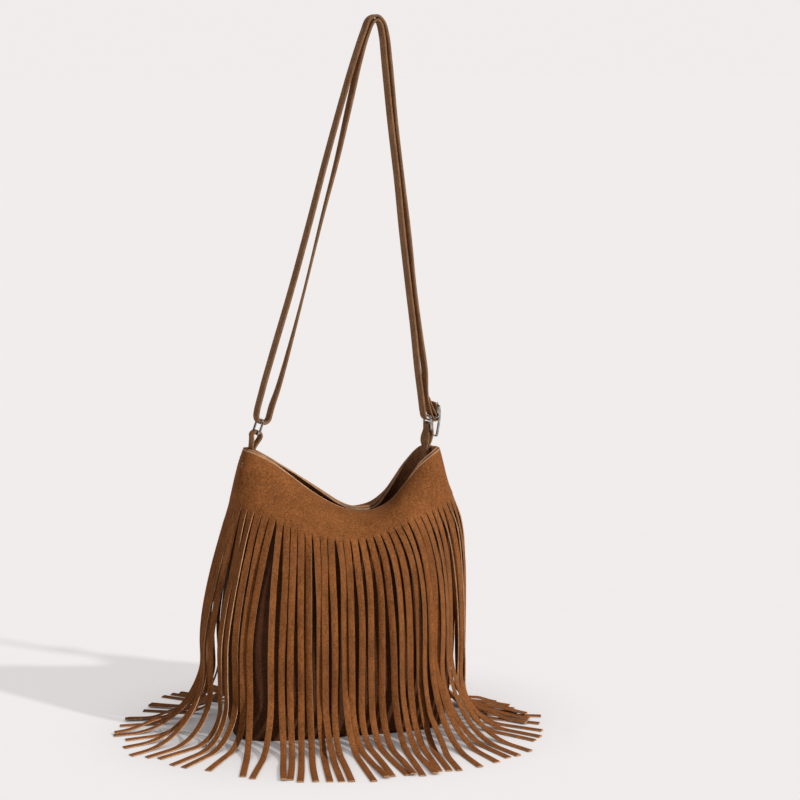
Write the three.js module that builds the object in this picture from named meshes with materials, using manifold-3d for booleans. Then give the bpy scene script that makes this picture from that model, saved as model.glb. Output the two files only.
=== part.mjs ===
// Fringed suede bag, standing on the floor with its strap held up.
// Millimetres, +Z up, +X to the right of someone facing the front, which looks towards -Y.
// The origin is the middle of the underside of the base, at floor level.

import * as THREE from "three";
import { mergeVertices } from "three/addons/utils/BufferGeometryUtils.js";
import Module from "manifold-3d";

const solidLibrary = await Module();
solidLibrary.setup();

// Driving dimensions

const fringeThickness = 1.3;
const bodyThickness = 1.6;
const baseThickness = 2.0;
const seamGap = 0.3;

const baseLength = 204;
const baseDepth = 92;
const baseSquareness = 4;
const bellyLength = 224;
const bellyDepth = 96;
const bellyHeight = 82;
const bellySquareness = 3;
const heelLength = 213;
const heelDepth = 95;
const heelHeight = 24;

const strandCount = 36;
const strandWidth = 6.0;
const strandLength = 282;
const skirtLength = 251;
const skirtDepth = 118;
const skirtHeight = 80;
const skirtShift = -2;
const skirtSquareness = 2.5;
const floorBend = 46;
const strandStray = 0.04;
const yokeBulge = 5;
const seamBulge = 0.6;
const shoulderDepth = 44;

const hardwareTurn = 16;
const wireRadius = 1.2;
const ringLength = 14;
const ringInnerWidth = 11.2;
const ringCorner = 3;
const strapWidth = 10;
const strapThickness = 2.4;
const strapThin = 1.4;
const strapTurnLow = 300;
const strapTurnHigh = 360;
const tabWidth = 9;
const tabThickness = 1.8;
const tabDepth = 13;
const cornerClear = 2.3;
const loopPlay = 0.5;
const strapPlay = 1.4;
const crownHeight = 669.8;
const turnRadius = 6.6;
const turnOffset = 2.3;
const leftBar = [-75.5, 285.9];
const leftLean = 20.9;
const rightBar = [90.2, 282.7];
const rightLean = -4.9;

const buckleBar = 1.0;
const buckleBeside = 5.0;
const buckleLift = 12.3;
const buckleBelly = 5.3;
const buckleWidth = 13.4;
const buckleSide = 1.2;
const buckleUp = 12;
const buckleDown = 18;
const tonguePlay = 0.3;
const tongueWidth = 1.6;
const tongueReach = 13.5;
const eyeWall = 0.9;

const suede = { color: 0x9a5428, roughness: 0.95, metalness: 0 };
const innerSuede = { color: 0x6e3a1c, roughness: 0.95, metalness: 0 };
const strapSuede = { color: 0x7d4a2a, roughness: 0.9, metalness: 0 };
const steel = { color: 0xb9b8b4, roughness: 0.25, metalness: 1 };

// Mouth rim and slit line, as points on the outer face: along X, out from the middle, height.
// The left side seam is the first point and the right side seam is the last one.

const rimFront = [
  [-87, 0, 272], [-86, -6.8, 272], [-80.5, -10.8, 270.8], [-64, -10.2, 261.8], [-45, -10, 247.5],
  [-27, -12, 233], [-7, -10.5, 219.5], [10, -8.2, 211.5], [24, -7.8, 208.8], [36, -8.6, 210.5],
  [50, -12, 218.7], [62, -17, 234], [77, -20.5, 253.5], [91, -20.8, 264.5], [97, -17.5, 268],
  [95.3, -8, 267.8], [93, 0, 267.5],
];
const rimBack = [
  [-87, 0, 272], [-86, 6.8, 272], [-80.5, 10.8, 270.8], [-64, 10.2, 262], [-48, 10, 251.5],
  [-31, 12.5, 240.5], [-12, 12, 227.5], [5, 9, 216], [16, 8, 211], [25, 7.8, 209.5],
  [38, 8.6, 211], [48, 11, 220.5], [58, 15, 232.5], [69.5, 18.5, 247], [79, 20.5, 256.5],
  [86, 17, 263], [90.3, 8, 266.5], [93, 0, 267.5],
];
const slitFront = [
  [-101, 0, 225], [-98, -12, 223], [-90, -22, 220.5], [-80, -29, 217], [-66, -34.5, 213],
  [-50, -39, 205.5], [-30, -42, 197], [-8, -44, 192], [14, -44, 191], [32, -44, 194.5],
  [50, -42.5, 200], [68, -38, 207], [85, -31, 211], [99, -22, 214], [110.5, -11, 217.5],
  [114.5, 0, 220],
];

// Where the strands point on the floor, from the left seam to the right seam.
const splayFront = [
  [-213, -4, 0], [-200, -58, 0], [-169, -100, 0], [-120, -140, 0], [-65, -158, 0], [-20, -163, 0],
  [21, -163, 0], [65, -162, 0], [101, -157, 0], [140, -135, 0], [165, -110, 0], [178, -80, 0],
  [182, -50, 0],
];
const splayBack = [
  [-213, -4, 0], [-203, 50, 0], [-185, 90, 0], [-150, 118, 0], [-110, 124, 0], [-60, 122, 0],
  [0, 118, 0], [60, 110, 0], [115, 90, 0], [150, 60, 0], [172, 20, 0], [180, -15, 0],
  [182, -50, 0],
];

const seamLeft = new THREE.Vector3(...rimFront[0]);
const seamRight = new THREE.Vector3(...rimFront.at(-1));

const vec = (x, y, z) => new THREE.Vector3(x, y, z);
const halfCurve = (points) => new THREE.CatmullRomCurve3(points.map((p) => vec(...p)), false, "centripetal");

// A level oval as its front and back halves. It is an ellipse at a squareness of 2.
function ovalHalves(length, depth, height, squareness, middleX = 0) {
  const steps = 24;
  const half = (side) => {
    const points = [];
    for (let i = 0; i <= steps; i++) {
      const angle = Math.PI * (1 - i / steps);
      const c = Math.cos(angle);
      const s = Math.sin(angle);
      const x = Math.sign(c) * Math.abs(c) ** (2 / squareness) * (length / 2);
      const y = side * Math.abs(s) ** (2 / squareness) * (depth / 2);
      points.push([middleX + x, y, height]);
    }
    return halfCurve(points);
  };
  return [half(-1), half(1)];
}

// Points round the bag at even shares of each half: left seam, front, right seam, back.
function ringPoints([front, back]) {
  const points = [];
  for (let j = 0; j < strandCount; j++) {
    points.push(front.getPointAt(j / strandCount));
  }
  for (let j = 0; j < strandCount; j++) {
    points.push(back.getPointAt(1 - j / strandCount));
  }
  return points;
}

const rimRing = ringPoints([halfCurve(rimFront), halfCurve(rimBack)]);
const slitBack = slitFront.map(([x, y, z]) => [x, -y, z]);
const slitRing = ringPoints([halfCurve(slitFront), halfCurve(slitBack)]);
const skirtRing = ringPoints(
  ovalHalves(skirtLength, skirtDepth, skirtHeight, skirtSquareness, skirtShift),
);
const splayRing = ringPoints([halfCurve(splayFront), halfCurve(splayBack)]);

const around = slitRing.length;
const wrap = (index) => (index + around) % around;

// The yoke swells between the rim and the slits, out and up from the straight line.
const yokeShares = [0, 0.34, 0.68, 1];
const yokeRows = yokeShares.map((share) =>
  rimRing.map((rim, j) => {
    const slit = slitRing[j];
    const chord = slit.clone().sub(rim);
    const along = slitRing[wrap(j + 1)].clone().sub(slitRing[wrap(j - 1)]);
    const outward = chord.cross(along).normalize();
    const fullness = Math.abs(slit.y) / shoulderDepth;
    const swell = 4 * share * (1 - share) * THREE.MathUtils.lerp(seamBulge, yokeBulge, fullness);
    return rim.clone().lerp(slit, share).addScaledVector(outward, swell);
  }),
);

// Outward normals of rows of points that run round the bag and down it.
function ringNormals(rows) {
  return rows.map((row, r) =>
    row.map((point, j) => {
      const along = row[wrap(j + 1)].clone().sub(row[wrap(j - 1)]);
      const above = rows[Math.max(r - 1, 0)][j];
      const below = rows[Math.min(r + 1, rows.length - 1)][j];
      return below.clone().sub(above).cross(along).normalize();
    }),
  );
}

const inset = (rows, normals, depth) =>
  rows.map((row, r) => row.map((point, j) => point.clone().addScaledVector(normals[r][j], -depth)));

const yokeNormals = ringNormals(yokeRows);

// One half of a ring row, front (0) or back (1), pulled back from the seams by half the seam gap.
function halfRow(row, half) {
  const first = half * strandCount;
  const points = [];
  for (let j = 0; j <= strandCount; j++) {
    points.push(row[wrap(first + j)].clone());
  }
  const pull = (index, from) => {
    const tangent = row[wrap(from + 1)].clone().sub(row[wrap(from - 1)]).normalize();
    const sign = index === 0 ? 1 : -1;
    points[index].addScaledVector(tangent, (sign * seamGap) / 2);
  };
  pull(0, first);
  pull(strandCount, first + strandCount);
  return points;
}

// Collects points and faces into one closed mesh.
class Builder {
  constructor() {
    this.positions = [];
    this.indices = [];
  }

  add(point) {
    this.positions.push(point.x, point.y, point.z);
    return this.positions.length / 3 - 1;
  }

  addRows(rows) {
    return rows.map((row) => row.map((point) => this.add(point)));
  }

  quad(a, b, c, d) {
    this.indices.push(a, b, c, a, c, d);
  }

  // Faces of a sheet between an outer and an inner grid, which run round and down.
  skin(outer, inner) {
    for (let r = 0; r + 1 < outer.length; r++) {
      for (let j = 0; j + 1 < outer[r].length; j++) {
        this.quad(outer[r][j], outer[r + 1][j], outer[r + 1][j + 1], outer[r][j + 1]);
        this.quad(inner[r][j], inner[r][j + 1], inner[r + 1][j + 1], inner[r + 1][j]);
      }
    }
  }

  sides(outer, inner) {
    const last = outer[0].length - 1;
    for (let r = 0; r + 1 < outer.length; r++) {
      this.quad(outer[r + 1][0], outer[r][0], inner[r][0], inner[r + 1][0]);
      this.quad(outer[r][last], outer[r + 1][last], inner[r + 1][last], inner[r][last]);
    }
  }

  top(outer, inner) {
    for (let j = 0; j + 1 < outer[0].length; j++) {
      this.quad(outer[0][j], outer[0][j + 1], inner[0][j + 1], inner[0][j]);
    }
  }

  bottom(outer, inner) {
    const end = outer.length - 1;
    for (let j = 0; j + 1 < outer[end].length; j++) {
      this.quad(outer[end][j + 1], outer[end][j], inner[end][j], inner[end][j + 1]);
    }
  }

  geometry() {
    const made = new THREE.BufferGeometry();
    made.setAttribute("position", new THREE.Float32BufferAttribute(this.positions, 3));
    made.setIndex(this.indices);
    return made;
  }
}

function closedSheet(outerRows, innerRows) {
  const builder = new Builder();
  const outer = builder.addRows(outerRows);
  const inner = builder.addRows(innerRows);
  builder.skin(outer, inner);
  builder.sides(outer, inner);
  builder.top(outer, inner);
  builder.bottom(outer, inner);
  return builder.geometry();
}

// Repeatable scatter between -1 and 1.
const scatter = (seed) => {
  const wave = Math.sin(seed * 12.9898) * 43758.5453;
  return 2 * (wave - Math.floor(wave)) - 1;
};

// Middle line of one strand: off the slit line, down the skirt, round onto the floor and out over it.
function strandPath(start, leave, knee, tip, seed) {
  const floor = fringeThickness / 2;
  const out = tip.clone().sub(knee).setZ(0).normalize();
  out.applyAxisAngle(vec(0, 0, 1), strandStray * scatter(seed));
  const handle = (start.z - knee.z) / 3;
  const drop = new THREE.CubicBezierCurve3(
    start,
    start.clone().addScaledVector(leave, handle),
    knee.clone().add(vec(0, 0, handle)),
    knee,
  );
  const points = drop.getPoints(3);
  const bendTop = knee.clone().setZ(floor + floorBend);
  points.push(bendTop);
  for (const share of [1 / 3, 2 / 3, 1]) {
    const angle = (share * Math.PI) / 2;
    const point = bendTop.clone().addScaledVector(out, floorBend * (1 - Math.cos(angle)));
    points.push(point.setZ(bendTop.z - floorBend * Math.sin(angle)));
  }
  let used = 0;
  for (let k = 0; k + 1 < points.length; k++) {
    used += points[k].distanceTo(points[k + 1]);
  }
  points.push(points.at(-1).clone().addScaledVector(out, strandLength - used));
  return { points, out };
}

// Front or back fringe: the yoke, and the strands that the slits leave, in one piece of suede.
function fringePanel(half) {
  const builder = new Builder();
  const innerYoke = inset(yokeRows, yokeNormals, fringeThickness);
  const outer = builder.addRows(yokeRows.map((row) => halfRow(row, half)));
  const inner = builder.addRows(innerYoke.map((row) => halfRow(row, half)));
  builder.skin(outer, inner);
  builder.sides(outer, inner);
  builder.top(outer, inner);
  const end = outer.length - 1;
  const first = half * strandCount;
  for (let i = 0; i < strandCount; i++) {
    const a = wrap(first + i);
    const b = wrap(first + i + 1);
    const middle = (row) => row[a].clone().lerp(row[b], 0.5);
    const depth = fringeThickness / 2;
    const start = middle(yokeRows[end]).lerp(middle(innerYoke[end]), 0.5);
    const across = slitRing[b].clone().sub(slitRing[a]).setZ(0).normalize();
    const leave = middle(yokeRows[end]).sub(middle(yokeRows[end - 1]));
    leave.addScaledVector(across, -leave.dot(across)).normalize();
    leave.z -= Math.abs(start.y) / shoulderDepth;
    leave.normalize();
    const { points, out } = strandPath(start, leave, middle(skirtRing), middle(splayRing), first + i + 1);
    const floorAcross = vec(-out.y, out.x, 0);
    const outerRows = [[outer[end][i], outer[end][i + 1]]];
    const innerRows = [[inner[end][i], inner[end][i + 1]]];
    for (let k = 1; k < points.length; k++) {
      const before = points[k - 1];
      const after = points[Math.min(k + 1, points.length - 1)];
      const down = after.clone().sub(before).normalize();
      const side = across.clone().lerp(floorAcross, Math.min(k / 3, 1));
      side.addScaledVector(down, -side.dot(down)).normalize().multiplyScalar(strandWidth / 2);
      const face = down.clone().cross(side).normalize().multiplyScalar(depth);
      const corner = (s, f) => {
        const point = points[k].clone().addScaledVector(side, s);
        return builder.add(point.addScaledVector(face, f));
      };
      outerRows.push([corner(-1, 1), corner(1, 1)]);
      innerRows.push([corner(-1, -1), corner(1, -1)]);
    }
    builder.skin(outerRows, innerRows);
    builder.sides(outerRows, innerRows);
    builder.bottom(outerRows, innerRows);
  }
  return builder.geometry();
}

// Walls of the bag: inside the yoke down to the slits, then out to the belly and in to the base.
const layerGap = fringeThickness + seamGap;
const bodyOuter = inset(yokeRows, yokeNormals, layerGap);
const underSlits = bodyOuter.at(-1);
const bellyRing = ringPoints(ovalHalves(bellyLength, bellyDepth, bellyHeight, bellySquareness));
const baseHalves = (height) => ovalHalves(baseLength, baseDepth, height, baseSquareness);
bodyOuter.push(
  underSlits.map((point, j) => point.clone().lerp(bellyRing[j], 0.45)),
  bellyRing,
  ringPoints(ovalHalves(heelLength, heelDepth, heelHeight, baseSquareness)),
  ringPoints(baseHalves(baseThickness + seamGap)),
);
const bodyNormals = ringNormals(bodyOuter);
const bodyInner = inset(bodyOuter, bodyNormals, bodyThickness);
bodyInner.at(-1).forEach((point) => point.setZ(baseThickness + seamGap));

function bodyPanel(half) {
  return closedSheet(
    bodyOuter.map((row) => halfRow(row, half)),
    bodyInner.map((row) => halfRow(row, half)),
  );
}

function basePanel() {
  const outline = ringPoints(baseHalves(0));
  const shape = new THREE.Shape(outline.map((point) => new THREE.Vector2(point.x, point.y)));
  return new THREE.ExtrudeGeometry(shape, { depth: baseThickness, bevelEnabled: false });
}

// A strip along a line of stations, each with its middle, its width direction and its thickness.
function ribbon(stations, width) {
  const builder = new Builder();
  const outerRows = [];
  const innerRows = [];
  stations.forEach(({ middle, across, thickness }, k) => {
    const before = stations[Math.max(k - 1, 0)].middle;
    const after = stations[Math.min(k + 1, stations.length - 1)].middle;
    const down = after.clone().sub(before).normalize();
    const side = across.clone().addScaledVector(down, -across.dot(down)).normalize();
    const face = down.clone().cross(side).normalize();
    const corner = (s, f) => {
      const point = middle.clone().addScaledVector(side, (s * width) / 2);
      return builder.add(point.addScaledVector(face, (f * thickness) / 2));
    };
    outerRows.push([corner(-1, 1), corner(1, 1)]);
    innerRows.push([corner(-1, -1), corner(1, -1)]);
  });
  builder.skin(outerRows, innerRows);
  builder.sides(outerRows, innerRows);
  builder.top(outerRows, innerRows);
  builder.bottom(outerRows, innerRows);
  return builder.geometry();
}

// Fittings at a side seam are drawn in a side view: x from the ring's lower bar along the bag,
// y along the bars and z up from the floor. A group for each seam turns that view to its place.
const rad = THREE.MathUtils.degToRad;
const wallThickness = layerGap + bodyThickness;

function sideFittings(seam, [barX, barZ], leanDegrees, inward, footClear, loopRadius) {
  const group = new THREE.Group();
  group.position.x = barX;
  group.rotation.z = rad(hardwareTurn);
  group.updateMatrix();
  const lean = rad(leanDegrees);
  const footX = seam.x - barX + inward * (wallThickness + footClear + tabThickness + seamGap / 2);
  const top = [ringLength * Math.sin(lean), barZ + ringLength * Math.cos(lean)];
  return { group, barX, barZ, lean, top, footX, seamZ: seam.z, loopRadius };
}

const left = sideFittings(seamLeft, leftBar, leftLean, 1, cornerClear, 4.3);
const right = sideFittings(seamRight, rightBar, rightLean, -1, seamGap, 2.6);

// A wire ring with rounded corners, upright on its lower bar.
function ringGeometry() {
  const halfWide = ringInnerWidth / 2 + wireRadius;
  const halfTall = ringLength / 2;
  const cornerSteps = 4;
  const sides = 8;
  const builder = new Builder();
  const loops = [];
  for (let quarter = 0; quarter < 4; quarter++) {
    const sideY = quarter === 0 || quarter === 3 ? 1 : -1;
    const sideZ = quarter < 2 ? 1 : -1;
    for (let i = 0; i <= cornerSteps; i++) {
      const angle = ((quarter + i / cornerSteps) * Math.PI) / 2;
      const out = vec(0, Math.cos(angle), Math.sin(angle));
      const corner = vec(0, sideY * (halfWide - ringCorner), sideZ * (halfTall - ringCorner) + halfTall);
      const point = corner.addScaledVector(out, ringCorner);
      const loop = [];
      for (let k = 0; k < sides; k++) {
        const turn = (2 * Math.PI * k) / sides;
        const offset = out.clone().multiplyScalar(Math.cos(turn));
        offset.addScaledVector(vec(1, 0, 0), Math.sin(turn));
        loop.push(builder.add(point.clone().addScaledVector(offset, wireRadius)));
      }
      loops.push(loop);
    }
  }
  loops.forEach((loop, n) => {
    const next = loops[(n + 1) % loops.length];
    for (let k = 0; k < sides; k++) {
      const after = (k + 1) % sides;
      builder.quad(loop[k], next[k], next[after], loop[after]);
    }
  });
  return builder.geometry();
}

// A tab: a strip up from inside the seam, over the ring's lower bar and back down beside itself.
function tabGeometry({ barZ, footX, seamZ, loopRadius }) {
  const loopZ = barZ + wireRadius + loopPlay + tabThickness / 2 - loopRadius;
  const apart = (tabThickness + seamGap) / 2;
  const footZ = seamZ - tabDepth;
  const points = [[footX - apart, footZ], [footX - apart, seamZ]];
  const loopSteps = 6;
  for (let i = 0; i <= loopSteps; i++) {
    const angle = Math.PI * (1.12 - (1.24 * i) / loopSteps);
    points.push([loopRadius * Math.cos(angle), loopZ + loopRadius * Math.sin(angle)]);
  }
  points.push([footX + apart, seamZ], [footX + apart, footZ]);
  const stations = points.map(([x, z]) => ({
    middle: vec(x, 0, z),
    across: vec(0, 1, 0),
    thickness: tabThickness,
  }));
  return ribbon(stations, tabWidth);
}

// The buckle hangs in its own group, whose origin is the middle of its centre bar.
const buckle = new THREE.Group();
buckle.position.set(buckleBeside, 0, right.barZ + buckleLift);
buckle.updateMatrix();
right.group.add(buckle);
const buckleTop = [3.1, buckleUp];
const buckleFoot = [0.8, -buckleDown];

// Runs of the strap, by x and z in the bag, with the turn of its width in degrees where it twists.
// They stretch with crownHeight above the height where the strap has turned to face the front.
const rightOuterRun = [[86.4, 340], [81, 379], [75.8, 417], [70, 473], [64, 520], [57.5, 575], [52.3, 630]];
const outerCrown = [[49, 655], [45.5, 665], [40, 669.8], [33.5, 667], [28.2, 655]];
const leftOuterRun = [
  [19.5, 630], [8.4, 594], [-7.5, 539], [-22.5, 484], [-40.7, 420], [-57.9, 364], [-68.5, 327],
];
const leftInnerRun = [
  [-59, 310], [-53.4, 326, 10], [-43.4, 364, 0], [-28.4, 419, -10], [-11, 487, -4], [3, 539, 6],
  [15, 590], [24.5, 630],
];
const innerCrown = [[31, 652], [36, 663.5], [40, 666.2], [43, 663.5], [45.8, 652]];
const rightInnerRun = [
  [48, 630], [53.5, 575], [60, 520], [64.7, 473], [71.2, 417], [75.8, 379], [79.5, 340], [82, 318],
];

const drawnCrown = Math.max(...outerCrown.map(([, z]) => z));
const stretch = (crownHeight - strapTurnHigh) / (drawnCrown - strapTurnHigh);
const stretched = (z) => (z > strapTurnHigh ? strapTurnHigh + (z - strapTurnHigh) * stretch : z);

// From the buckle's centre bar: the sewn end down to the fold, and the start of the strap back up.
const sewnRun = [[-6.3, 23], [-3.7, 12]];
const startRun = [[-6, 9], [-8.1, 23]];

// From the right ring's top bar, with the thickness as the strap is pulled in round the bar.
const throughRing = [[-4.6, 3, strapThickness], [-3.2, -1.2, 2.0], [-0.2, -3.1, 1.7]];

// From the end of the tail under the buckle's top bar.
const tailEnd = [-2.5, 6.5];

const foldRadius = buckleBar + seamGap + strapThin / 2;
const tailRadius = foldRadius + strapThin + seamGap;

// The strap's stations from the sewn fold on the buckle to the tail.
function strapStations() {
  const stations = [];
  const add = (x, z, thickness = strapThickness, turn = hardwareTurn) => {
    const side = x < 0 ? left : right;
    const rise = THREE.MathUtils.smoothstep(z, strapTurnLow, strapTurnHigh);
    const turned = vec(x - side.barX, 0, z).applyMatrix4(side.group.matrix);
    const across = vec(0, 1, 0).applyAxisAngle(vec(0, 0, 1), rad(turn));
    stations.push({ middle: turned.lerp(vec(x, 0, z), rise), across, thickness });
  };
  const addRuns = (...runs) => {
    for (const [x, z, turn] of runs.flat()) {
      add(x, stretched(z), strapThickness, turn);
    }
  };
  const addArc = (x, z, radius, degrees, thickness) => {
    for (const angle of degrees.map(rad)) {
      add(x + radius * Math.cos(angle), z + radius * Math.sin(angle), thickness);
    }
  };
  const barX = right.barX + buckle.position.x;
  const barZ = buckle.position.z;
  for (const [x, z] of sewnRun) {
    add(barX + x, barZ + z, strapThin);
  }
  addArc(barX, barZ, foldRadius, [20, -20, -60, -90, -120, -160], strapThin);
  add(barX + startRun[0][0], barZ + startRun[0][1], strapThin);
  add(barX + startRun[1][0], barZ + startRun[1][1], (strapThin + strapThickness) / 2);
  addRuns(rightOuterRun, outerCrown, leftOuterRun);
  const turnX = left.barX + left.top[0] + turnOffset;
  const turnZ = left.top[1] - wireRadius - strapPlay - strapThickness / 2 + turnRadius;
  addArc(turnX, turnZ, turnRadius, [172, 207, 237, 267, 297, 327, 352]);
  addRuns(leftInnerRun, innerCrown, rightInnerRun);
  for (const [x, z, thickness] of throughRing) {
    add(right.barX + right.top[0] + x, right.top[1] + z, thickness);
  }
  addArc(barX, barZ, tailRadius, [-115, -85, -50, -15, 15, 45], strapThin);
  const tailX = barX + buckleTop[0] - buckleBar - seamGap - strapThin / 2;
  const tailZ = barZ + buckleTop[1];
  add(tailX, tailZ, strapThin);
  add(tailX + tailEnd[0], tailZ + tailEnd[1], strapThin);
  return stations;
}

// A side-view outline as a plate of the given width along the bars.
function plateGeometry(outline, width, offset = 0) {
  const shape = new THREE.Shape(outline.map(([x, z]) => new THREE.Vector2(x, z)));
  const plate = new THREE.ExtrudeGeometry(shape, { depth: width, bevelEnabled: false });
  plate.translate(0, 0, offset - width / 2);
  plate.rotateX(Math.PI / 2);
  return plate;
}

function barGeometry([x, z], radius, width) {
  const bar = new THREE.CylinderGeometry(radius, radius, width, 16);
  bar.translate(x, 0, z);
  return bar;
}

// Between a geometry and a solid that can be cut and joined.
function solidOf(geometry) {
  const plain = geometry.clone();
  plain.deleteAttribute("normal");
  plain.deleteAttribute("uv");
  const merged = mergeVertices(plain, 1e-4);
  return new solidLibrary.Manifold(
    new solidLibrary.Mesh({
      numProp: 3,
      vertProperties: new Float32Array(merged.attributes.position.array),
      triVerts: new Uint32Array(merged.index.array),
    }),
  );
}

function geometryOf(solid) {
  const { vertProperties, triVerts } = solid.getMesh();
  const made = new THREE.BufferGeometry();
  made.setAttribute("position", new THREE.Float32BufferAttribute(vertProperties, 3));
  made.setIndex([...triVerts]);
  return made;
}

// The strap, slotted through the fold and the tail where the tongue's eye and shaft pass.
function strapGeometry() {
  const strip = solidOf(ribbon(strapStations(), strapWidth));
  const reach = tailRadius;
  const outline = [
    [-0.65, -0.84], [0.6, -0.92], [2, -0.4], [2, 1.75], [0.25, 1.75], [-0.65, 0.84],
  ].map(([x, z]) => [reach * x, reach * z]);
  const slot = plateGeometry(outline, tongueWidth + 2 * tonguePlay);
  slot.applyMatrix4(buckle.matrix).applyMatrix4(right.group.matrix);
  return geometryOf(strip.subtract(solidOf(slot)));
}

// Two bowed side plates joined by the centre bar and a bar at each end.
function buckleFrame() {
  const [topX, topZ] = buckleTop;
  const [footX, footZ] = buckleFoot;
  const edge = buckleBar;
  const outline = [
    [-edge, -edge], [footX - edge, footZ], [footX, footZ - edge], [footX + edge, footZ],
    [buckleBelly - edge, -5], [buckleBelly, 0], [buckleBelly, 5], [topX + edge, topZ],
    [topX, topZ + edge], [topX - edge, topZ], [edge, 5], [-edge, edge],
  ];
  const offset = (buckleWidth - buckleSide) / 2;
  let frame = solidOf(plateGeometry(outline, buckleSide, offset));
  frame = frame.add(solidOf(plateGeometry(outline, buckleSide, -offset)));
  for (const centre of [[0, 0], buckleTop, buckleFoot]) {
    frame = frame.add(solidOf(barGeometry(centre, buckleBar, buckleWidth - buckleSide)));
  }
  return geometryOf(frame);
}

// The pin: an eye on the centre bar and a shaft out through the tail and up over the top bar.
function buckleTongue() {
  const inside = buckleBar + tonguePlay;
  const over = buckleTop[0] + buckleBar + tonguePlay;
  const shaft = [
    [1.6, -0.6], [buckleBelly, 2.2], [over + 1.4, buckleUp], [over + 1.2, tongueReach + 0.4],
    [over, tongueReach], [over, buckleUp - 1], [over, 4.6], [0.9, 1.4],
  ];
  let tongue = solidOf(barGeometry([0, 0], inside + eyeWall, tongueWidth));
  tongue = tongue.add(solidOf(plateGeometry(shaft, tongueWidth)));
  tongue = tongue.subtract(solidOf(barGeometry([0, 0], inside, 2 * tongueWidth)));
  return geometryOf(tongue);
}

const bag = new THREE.Group();

function place(name, geometry, finish, parent = bag) {
  const mesh = new THREE.Mesh(geometry, new THREE.MeshStandardMaterial(finish));
  mesh.name = name;
  parent.add(mesh);
  return mesh;
}

place("body_front", bodyPanel(0), innerSuede);
place("body_back", bodyPanel(1), innerSuede);
place("base_panel", basePanel(), innerSuede);
place("fringe_front", fringePanel(0), suede);
place("fringe_back", fringePanel(1), suede);
place("strap", strapGeometry(), strapSuede);

for (const [name, side] of Object.entries({ left, right })) {
  bag.add(side.group);
  place(`tab_${name}`, tabGeometry(side), strapSuede, side.group);
  const ring = place(`ring_${name}`, ringGeometry(), steel, side.group);
  ring.position.z = side.barZ;
  ring.rotation.y = side.lean;
}

place("buckle_frame", buckleFrame(), steel, buckle);
place("buckle_tongue", buckleTongue(), steel, buckle);

export default bag;
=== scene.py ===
# Fringed suede bag with its strap held up: the visible surfaces, materials, light and camera.
# Points are millimetres in the bag's frame and become metres as meshes are made.
import math
import random

import bmesh
import bpy
import numpy as np
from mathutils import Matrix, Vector


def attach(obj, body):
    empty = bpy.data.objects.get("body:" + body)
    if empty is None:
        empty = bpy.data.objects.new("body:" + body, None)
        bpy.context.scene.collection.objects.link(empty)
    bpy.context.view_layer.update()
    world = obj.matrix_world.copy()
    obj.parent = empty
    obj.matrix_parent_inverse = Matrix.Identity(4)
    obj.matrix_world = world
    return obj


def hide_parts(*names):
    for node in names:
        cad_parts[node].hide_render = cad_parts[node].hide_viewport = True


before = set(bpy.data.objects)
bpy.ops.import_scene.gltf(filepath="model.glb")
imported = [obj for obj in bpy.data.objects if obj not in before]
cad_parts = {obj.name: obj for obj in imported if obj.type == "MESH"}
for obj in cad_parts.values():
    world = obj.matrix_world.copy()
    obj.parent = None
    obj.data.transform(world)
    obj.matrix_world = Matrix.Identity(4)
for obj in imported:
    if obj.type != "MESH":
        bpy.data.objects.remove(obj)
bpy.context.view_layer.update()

MM = 0.001
UP = np.array([0.0, 0.0, 1.0])
# Leaves a vector's level part
LEVEL = (1, 1, 0)

# Camera: the photograph's view, worked out for a picture 800 pixels wide

PICTURE_PIXELS = 800
FOCAL_PIXELS = 2087
SENSOR_MM = 36
EYE = (-0.37482, -1.89495, 0.65102)
FORWARD = (0.22161487, 0.95991946, -0.17158522)

# Sizes of the bag, the same as the solids'

FRINGE_THICK = 1.3
BODY_THICK = 1.6
BASE_THICK = 2.0
SEAM_GAP = 0.3
STRANDS = 36
STRAND_LENGTH = 282
BASE_OVAL = (204, 92, BASE_THICK + SEAM_GAP, 4)
BELLY_OVAL = (224, 96, 82, 3)
HEEL_OVAL = (213, 95, 24, 4)
SKIRT_OVAL = (251, 118, 80, 2.5)
SKIRT_SHIFT = -2
FLOOR_BEND = 46
YOKE_BULGE = 5
SEAM_BULGE = 0.6
RIM_STAND = 3.0
RIM_EDGE = 1.2
SHOULDER_DEPTH = 44

# The mouth's rim and the line of the slits, each from the left seam to the right one

RIM_FRONT = [
    (-87, 0, 272), (-86, -6.8, 272), (-80.5, -10.8, 270.8), (-64, -10.2, 261.8), (-45, -10, 247.5),
    (-27, -12, 233), (-7, -10.5, 219.5), (10, -8.2, 211.5), (24, -7.8, 208.8), (36, -8.6, 210.5),
    (50, -12, 218.7), (62, -17, 234), (77, -20.5, 253.5), (91, -20.8, 264.5), (97, -17.5, 268),
    (95.3, -8, 267.8), (93, 0, 267.5),
]
RIM_BACK = [
    (-87, 0, 272), (-86, 6.8, 272), (-80.5, 10.8, 270.8), (-64, 10.2, 262), (-48, 10, 251.5),
    (-31, 12.5, 240.5), (-12, 12, 227.5), (5, 9, 216), (16, 8, 211), (25, 7.8, 209.5),
    (38, 8.6, 211), (48, 11, 220.5), (58, 15, 232.5), (69.5, 18.5, 247), (79, 20.5, 256.5),
    (86, 17, 263), (90.3, 8, 266.5), (93, 0, 267.5),
]
SLIT_FRONT = [
    (-101, 0, 225), (-98, -12, 223), (-90, -22, 220.5), (-80, -29, 217), (-66, -34.5, 213),
    (-50, -39, 205.5), (-30, -42, 197), (-8, -44, 192), (14, -44, 191), (32, -44, 194.5),
    (50, -42.5, 200), (68, -38, 207), (85, -31, 211), (99, -22, 214), (110.5, -11, 217.5),
    (114.5, 0, 220),
]
SLIT_BACK = [(x, -y, z) for x, y, z in SLIT_FRONT]

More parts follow.
